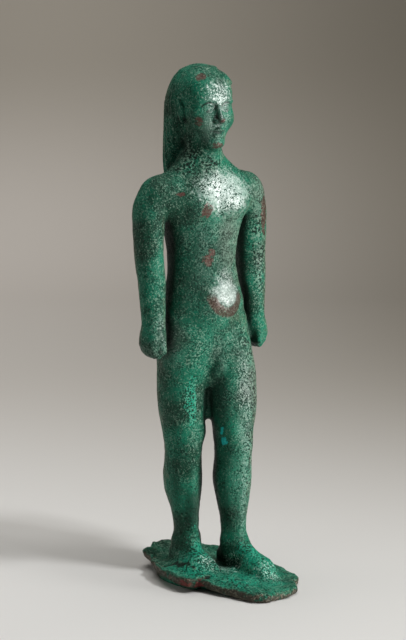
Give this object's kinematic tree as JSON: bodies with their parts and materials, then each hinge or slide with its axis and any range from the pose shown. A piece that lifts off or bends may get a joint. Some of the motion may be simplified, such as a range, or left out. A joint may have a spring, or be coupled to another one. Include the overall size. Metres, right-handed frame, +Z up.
{
  "type": "kouros statuette",
  "caption": "Standing nude youth in cast bronze, one foot forward, arms straight at the sides and long hair down the back, on a thin plate with a ragged rim.",
  "frame": {"origin": "under the middle of the part's bounding box, on the flat that the plate rests on", "axes": "+Z up along the figure; the figure faces -Y and its left side is +X"},
  "size_m": [0.0446, 0.0596, 0.1512],
  "materials": {
    "patinated_bronze": "dry granular green patina over cast bronze"
  },
  "bodies": {
    "root": {"kouros_statuette": "patinated_bronze"}
  },
  "joints": []
}
